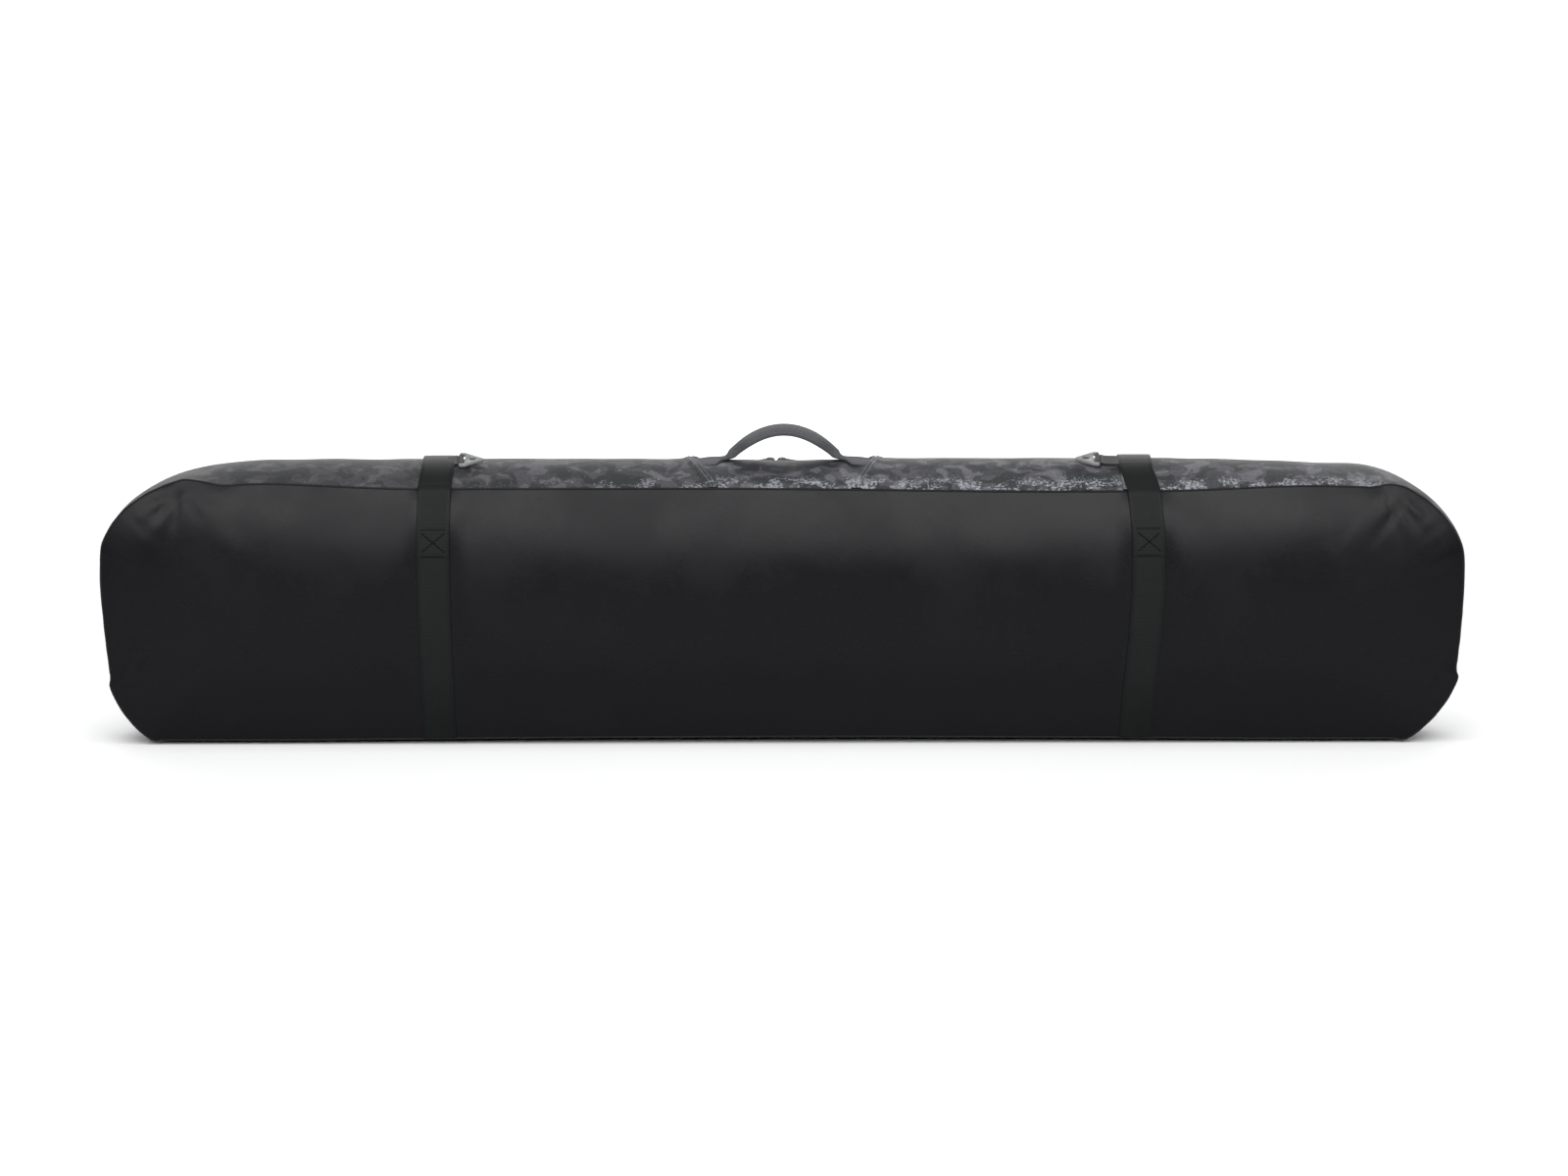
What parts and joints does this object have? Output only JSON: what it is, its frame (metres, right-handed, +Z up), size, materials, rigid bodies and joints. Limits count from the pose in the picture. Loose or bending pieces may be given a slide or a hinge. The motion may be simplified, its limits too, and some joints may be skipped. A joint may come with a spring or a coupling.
{
  "type": "snowboard bag",
  "caption": "Long padded board bag on its lower edge, with a zipped hinged side, two compression straps with buckles, a padded carry handle and triangular strap rings.",
  "frame": {"origin": "middle of the bottom of the bounding box, on the ground under the bag", "axes": "+X along the bag, +Y towards the side that opens, +Z up"},
  "size_m": [1.5892, 0.1657, 0.3665],
  "materials": {
    "black_cloth": "matt woven",
    "grey_cloth": "coated, mottled grey",
    "foam": "closed-cell foam",
    "lining": "plain woven lining",
    "webbing": "ribbed webbing",
    "piping": "binding and tape",
    "handle_cloth": "padded ribbed cloth",
    "black_plastic": "moulded, slightly glossy",
    "zip_teeth": "coil",
    "dark_metal": "dark plated"
  },
  "bodies": {
    "tub": {"back_panel_foam": "foam", "back_panel_lining": "lining", "back_panel_shell": "black_cloth", "back_piping": "piping", "base_foam": "foam", "base_lining": "lining", "base_shell": "grey_cloth", "d_ring_tab_left": "webbing", "d_ring_tab_right": "webbing", "gusset_foam": "foam", "gusset_left_shell": "grey_cloth", "gusset_lining": "lining", "gusset_right_shell": "grey_cloth", "gusset_top_centre_shell": "grey_cloth", "gusset_top_left_shell": "grey_cloth", "gusset_top_right_shell": "grey_cloth", "handle_foot_left": "webbing", "handle_foot_right": "webbing", "hinge_fold": "piping", "strap_back_left": "webbing", "strap_back_right": "webbing", "strap_rise_left": "webbing", "strap_rise_right": "webbing", "zip_stop_left": "dark_metal", "zip_stop_right": "dark_metal", "zip_tape_tub": "piping", "zip_teeth_tub": "zip_teeth"},
    "lid": {"buckle_female_left": "black_plastic", "buckle_female_right": "black_plastic", "lid_gusset_shell": "grey_cloth", "lid_panel_foam": "foam", "lid_panel_lining": "lining", "lid_panel_shell": "black_cloth", "lid_piping": "piping", "strap_front_left": "webbing", "strap_front_right": "webbing", "zip_tape_lid": "piping", "zip_teeth_lid": "zip_teeth"},
    "handle": {"handle_webbing": "webbing", "handle_grip": "handle_cloth"},
    "strap_top_left": {"strap_top_left": "webbing"},
    "strap_end_left": {"strap_end_left": "webbing", "buckle_male_left": "black_plastic"},
    "slider_left": {"zip_slider_left": "dark_metal"},
    "pull_left": {"zip_pull_left": "dark_metal"},
    "ring_left": {"d_ring_left": "black_plastic"},
    "strap_top_right": {"strap_top_right": "webbing"},
    "strap_end_right": {"strap_end_right": "webbing", "buckle_male_right": "black_plastic"},
    "slider_right": {"zip_slider_right": "dark_metal"},
    "pull_right": {"zip_pull_right": "dark_metal"},
    "ring_right": {"d_ring_right": "black_plastic"}
  },
  "joints": [
    {"name": "lid_open", "type": "hinge", "parent": "tub", "child": "lid", "pos_m": [-0.00005, 0.05819, 0.0125], "axis": [-1, 0, 0], "range_deg": [0, 86]},
    {"name": "strap_fold_left", "type": "hinge", "parent": "tub", "child": "strap_top_left", "pos_m": [-0.39705, -0.07211, 0.303], "axis": [1, 0, 0], "range_deg": [0, 200]},
    {"name": "strap_turn_left", "type": "hinge", "parent": "strap_top_left", "child": "strap_end_left", "pos_m": [-0.39705, -0.00531, 0.3307], "axis": [1, 0, 0], "range_deg": [0, 70]},
    {"name": "strap_fold_right", "type": "hinge", "parent": "tub", "child": "strap_top_right", "pos_m": [0.41195, -0.07211, 0.303], "axis": [1, 0, 0], "range_deg": [0, 200]},
    {"name": "strap_turn_right", "type": "hinge", "parent": "strap_top_right", "child": "strap_end_right", "pos_m": [0.41195, -0.00531, 0.3307], "axis": [1, 0, 0], "range_deg": [0, 70]},
    {"name": "slider_left_run", "type": "slide", "parent": "tub", "child": "slider_left", "axis": [-1, 0, 0], "range_m": [0, 0.33]},
    {"name": "pull_left_lift", "type": "hinge", "parent": "slider_left", "child": "pull_left", "pos_m": [-0.01405, 0.03588, 0.32116], "axis": [0, 0.8675, -0.4974], "range_deg": [0, 100]},
    {"name": "slider_right_run", "type": "slide", "parent": "tub", "child": "slider_right", "axis": [1, 0, 0], "range_m": [0, 0.33]},
    {"name": "pull_right_lift", "type": "hinge", "parent": "slider_right", "child": "pull_right", "pos_m": [-0.00005, 0.03588, 0.32116], "axis": [0, -0.8675, 0.4974], "range_deg": [0, 100]},
    {"name": "handle_tilt", "type": "hinge", "parent": "tub", "child": "handle", "pos_m": [0.00195, -0.00531, 0.3325], "axis": [1, 0, 0], "range_deg": [-55, 55], "stiffness_Nm_per_rad": 0.25},
    {"name": "ring_left_swing", "type": "hinge", "parent": "tub", "child": "ring_left", "pos_m": [-0.37255, -0.02652, 0.3275], "axis": [0, -0.9574, -0.2889], "range_deg": [0, 85]},
    {"name": "ring_right_swing", "type": "hinge", "parent": "tub", "child": "ring_right", "pos_m": [0.36595, -0.02652, 0.3275], "axis": [0, 0.9574, 0.2889], "range_deg": [0, 120]}
  ],
  "couplings": [
    {"joint": "strap_fold_left", "follows": "lid_open", "ratio": 2.3},
    {"joint": "strap_turn_left", "follows": "lid_open", "ratio": 0.8},
    {"joint": "strap_fold_right", "follows": "lid_open", "ratio": 2.3},
    {"joint": "strap_turn_right", "follows": "lid_open", "ratio": 0.8}
  ]
}
